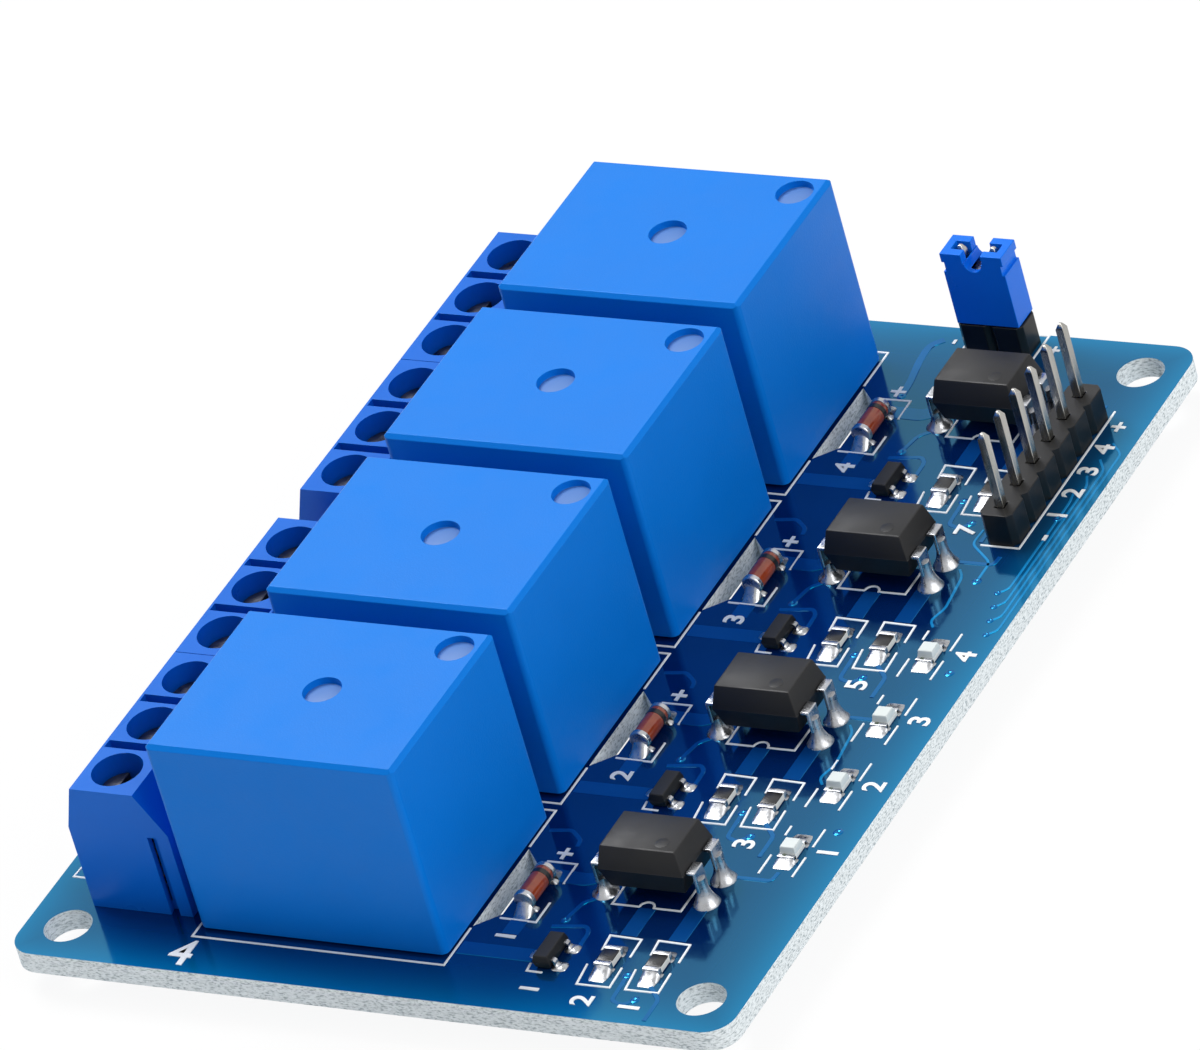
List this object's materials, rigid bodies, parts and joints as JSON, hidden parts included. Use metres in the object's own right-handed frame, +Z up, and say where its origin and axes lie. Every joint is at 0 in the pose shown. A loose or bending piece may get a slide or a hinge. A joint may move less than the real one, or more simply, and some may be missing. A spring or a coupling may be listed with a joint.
{
  "type": "relay module board",
  "caption": "Circuit board with a row of sealed relays, screw terminal blocks, optocoupled inputs, pin headers and a jumper cap, with a mounting hole at each corner.",
  "frame": {"origin": "centre of the four mounting holes, on the board's underside", "axes": "+X from the screw terminals to the input header, +Y along the row of relays, +Z up out of the board's component side"},
  "size_m": [0.055, 0.076, 0.0188],
  "materials": {
    "solder_mask": "glossy blue solder mask on glass-epoxy laminate",
    "solder": "bright tin solder",
    "relay_cover": "fine satin moulded plastic",
    "relay_base": "matt moulded plastic",
    "soft_iron": "zinc-plated iron",
    "copper": "enamelled copper wire",
    "bobbin": "natural nylon",
    "tinned_brass": "tinned",
    "terminal_housing": "glossy moulded plastic",
    "screw": "zinc plate",
    "clamp_brass": "nickel-plated brass",
    "header_strip": "matt black moulding",
    "pins": "tin plate",
    "jumper_cap": "satin moulded plastic",
    "clip": "tin plate",
    "epoxy": "matt moulding compound",
    "diode_glass": "amber glass with tinned ends",
    "chip": "black glaze with tinned ends",
    "lamp": "clear and white resin"
  },
  "bodies": {
    "board": {"circuit_board": "solder_mask", "solder_joints": "solder", "relay_1_cover": "relay_cover", "relay_2_cover": "relay_cover", "relay_3_cover": "relay_cover", "relay_4_cover": "relay_cover", "relay_1_base": "relay_base", "relay_2_base": "relay_base", "relay_3_base": "relay_base", "relay_4_base": "relay_base", "relay_coils": "copper", "relay_bobbins": "bobbin", "relay_yokes": "soft_iron", "relay_terminals": "tinned_brass", "terminal_1_housing": "terminal_housing", "terminal_2_housing": "terminal_housing", "terminal_3_housing": "terminal_housing", "terminal_4_housing": "terminal_housing", "terminal_legs": "tinned_brass", "input_header": "header_strip", "input_pins": "pins", "power_header": "header_strip", "power_pins": "pins", "optocouplers": "epoxy", "optocoupler_leads": "tinned_brass", "flyback_diodes": "diode_glass", "transistors": "epoxy", "chip_resistors": "chip", "indicator_leds": "lamp"},
    "screw_1": {"screw_1": "screw"},
    "clamp_1": {"wire_clamp_1": "clamp_brass"},
    "screw_2": {"screw_2": "screw"},
    "clamp_2": {"wire_clamp_2": "clamp_brass"},
    "screw_3": {"screw_3": "screw"},
    "clamp_3": {"wire_clamp_3": "clamp_brass"},
    "screw_4": {"screw_4": "screw"},
    "clamp_4": {"wire_clamp_4": "clamp_brass"},
    "screw_5": {"screw_5": "screw"},
    "clamp_5": {"wire_clamp_5": "clamp_brass"},
    "screw_6": {"screw_6": "screw"},
    "clamp_6": {"wire_clamp_6": "clamp_brass"},
    "screw_7": {"screw_7": "screw"},
    "clamp_7": {"wire_clamp_7": "clamp_brass"},
    "screw_8": {"screw_8": "screw"},
    "clamp_8": {"wire_clamp_8": "clamp_brass"},
    "screw_9": {"screw_9": "screw"},
    "clamp_9": {"wire_clamp_9": "clamp_brass"},
    "screw_10": {"screw_10": "screw"},
    "clamp_10": {"wire_clamp_10": "clamp_brass"},
    "screw_11": {"screw_11": "screw"},
    "clamp_11": {"wire_clamp_11": "clamp_brass"},
    "screw_12": {"screw_12": "screw"},
    "clamp_12": {"wire_clamp_12": "clamp_brass"},
    "armature_1": {"relay_1_armature": "soft_iron"},
    "armature_2": {"relay_2_armature": "soft_iron"},
    "armature_3": {"relay_3_armature": "soft_iron"},
    "armature_4": {"relay_4_armature": "soft_iron"},
    "jumper": {"jumper_cap": "jumper_cap", "jumper_clip": "clip"}
  },
  "joints": [
    {"name": "screw_1_turn", "type": "hinge", "parent": "board", "child": "screw_1", "pos_m": [-0.02, -0.02994, 0.0096], "axis": [0, 0, -1], "range_deg": [0, 1008]},
    {"name": "clamp_1_lift", "type": "slide", "parent": "board", "child": "clamp_1", "axis": [0, 0, 1], "range_m": [0, 0.0014]},
    {"name": "screw_2_turn", "type": "hinge", "parent": "board", "child": "screw_2", "pos_m": [-0.02, -0.02486, 0.0096], "axis": [0, 0, -1], "range_deg": [0, 1008]},
    {"name": "clamp_2_lift", "type": "slide", "parent": "board", "child": "clamp_2", "axis": [0, 0, 1], "range_m": [0, 0.0014]},
    {"name": "screw_3_turn", "type": "hinge", "parent": "board", "child": "screw_3", "pos_m": [-0.02, -0.01978, 0.0096], "axis": [0, 0, -1], "range_deg": [0, 1008]},
    {"name": "clamp_3_lift", "type": "slide", "parent": "board", "child": "clamp_3", "axis": [0, 0, 1], "range_m": [0, 0.0014]},
    {"name": "screw_4_turn", "type": "hinge", "parent": "board", "child": "screw_4", "pos_m": [-0.02, -0.0147, 0.0096], "axis": [0, 0, -1], "range_deg": [0, 1008]},
    {"name": "clamp_4_lift", "type": "slide", "parent": "board", "child": "clamp_4", "axis": [0, 0, 1], "range_m": [0, 0.0014]},
    {"name": "screw_5_turn", "type": "hinge", "parent": "board", "child": "screw_5", "pos_m": [-0.02, -0.00962, 0.0096], "axis": [0, 0, -1], "range_deg": [0, 1008]},
    {"name": "clamp_5_lift", "type": "slide", "parent": "board", "child": "clamp_5", "axis": [0, 0, 1], "range_m": [0, 0.0014]},
    {"name": "screw_6_turn", "type": "hinge", "parent": "board", "child": "screw_6", "pos_m": [-0.02, -0.00454, 0.0096], "axis": [0, 0, -1], "range_deg": [0, 1008]},
    {"name": "clamp_6_lift", "type": "slide", "parent": "board", "child": "clamp_6", "axis": [0, 0, 1], "range_m": [0, 0.0014]},
    {"name": "screw_7_turn", "type": "hinge", "parent": "board", "child": "screw_7", "pos_m": [-0.02, 0.00374, 0.0096], "axis": [0, 0, -1], "range_deg": [0, 1008]},
    {"name": "clamp_7_lift", "type": "slide", "parent": "board", "child": "clamp_7", "axis": [0, 0, 1], "range_m": [0, 0.0014]},
    {"name": "screw_8_turn", "type": "hinge", "parent": "board", "child": "screw_8", "pos_m": [-0.02, 0.00882, 0.0096], "axis": [0, 0, -1], "range_deg": [0, 1008]},
    {"name": "clamp_8_lift", "type": "slide", "parent": "board", "child": "clamp_8", "axis": [0, 0, 1], "range_m": [0, 0.0014]},
    {"name": "screw_9_turn", "type": "hinge", "parent": "board", "child": "screw_9", "pos_m": [-0.02, 0.0139, 0.0096], "axis": [0, 0, -1], "range_deg": [0, 1008]},
    {"name": "clamp_9_lift", "type": "slide", "parent": "board", "child": "clamp_9", "axis": [0, 0, 1], "range_m": [0, 0.0014]},
    {"name": "screw_10_turn", "type": "hinge", "parent": "board", "child": "screw_10", "pos_m": [-0.02, 0.01898, 0.0096], "axis": [0, 0, -1], "range_deg": [0, 1008]},
    {"name": "clamp_10_lift", "type": "slide", "parent": "board", "child": "clamp_10", "axis": [0, 0, 1], "range_m": [0, 0.0014]},
    {"name": "screw_11_turn", "type": "hinge", "parent": "board", "child": "screw_11", "pos_m": [-0.02, 0.02406, 0.0096], "axis": [0, 0, -1], "range_deg": [0, 1008]},
    {"name": "clamp_11_lift", "type": "slide", "parent": "board", "child": "clamp_11", "axis": [0, 0, 1], "range_m": [0, 0.0014]},
    {"name": "screw_12_turn", "type": "hinge", "parent": "board", "child": "screw_12", "pos_m": [-0.02, 0.02914, 0.0096], "axis": [0, 0, -1], "range_deg": [0, 1008]},
    {"name": "clamp_12_lift", "type": "slide", "parent": "board", "child": "clamp_12", "axis": [0, 0, 1], "range_m": [0, 0.0014]},
    {"name": "armature_1_tip", "type": "hinge", "parent": "board", "child": "armature_1", "pos_m": [0.00125, -0.026, 0.0127], "axis": [0, -1, 0], "range_deg": [0, 3.5], "stiffness_Nm_per_rad": 0.01, "springref_deg": -8.59},
    {"name": "armature_2_tip", "type": "hinge", "parent": "board", "child": "armature_2", "pos_m": [0.00125, -0.0086, 0.0127], "axis": [0, -1, 0], "range_deg": [0, 3.5], "stiffness_Nm_per_rad": 0.01, "springref_deg": -8.59},
    {"name": "armature_3_tip", "type": "hinge", "parent": "board", "child": "armature_3", "pos_m": [0.00125, 0.0088, 0.0127], "axis": [0, -1, 0], "range_deg": [0, 3.5], "stiffness_Nm_per_rad": 0.01, "springref_deg": -8.59},
    {"name": "armature_4_tip", "type": "hinge", "parent": "board", "child": "armature_4", "pos_m": [0.00125, 0.0262, 0.0127], "axis": [0, -1, 0], "range_deg": [0, 3.5], "stiffness_Nm_per_rad": 0.01, "springref_deg": -8.59},
    {"name": "jumper_pull", "type": "slide", "parent": "board", "child": "jumper", "axis": [0, 0, 1], "range_m": [0, 0.007]}
  ],
  "couplings": [
    {"joint": "screw_1_turn", "follows": "clamp_1_lift", "rad_per_m": 12566},
    {"joint": "screw_2_turn", "follows": "clamp_2_lift", "rad_per_m": 12566},
    {"joint": "screw_3_turn", "follows": "clamp_3_lift", "rad_per_m": 12566},
    {"joint": "screw_4_turn", "follows": "clamp_4_lift", "rad_per_m": 12566},
    {"joint": "screw_5_turn", "follows": "clamp_5_lift", "rad_per_m": 12566},
    {"joint": "screw_6_turn", "follows": "clamp_6_lift", "rad_per_m": 12566},
    {"joint": "screw_7_turn", "follows": "clamp_7_lift", "rad_per_m": 12566},
    {"joint": "screw_8_turn", "follows": "clamp_8_lift", "rad_per_m": 12566},
    {"joint": "screw_9_turn", "follows": "clamp_9_lift", "rad_per_m": 12566},
    {"joint": "screw_10_turn", "follows": "clamp_10_lift", "rad_per_m": 12566},
    {"joint": "screw_11_turn", "follows": "clamp_11_lift", "rad_per_m": 12566},
    {"joint": "screw_12_turn", "follows": "clamp_12_lift", "rad_per_m": 12566}
  ]
}
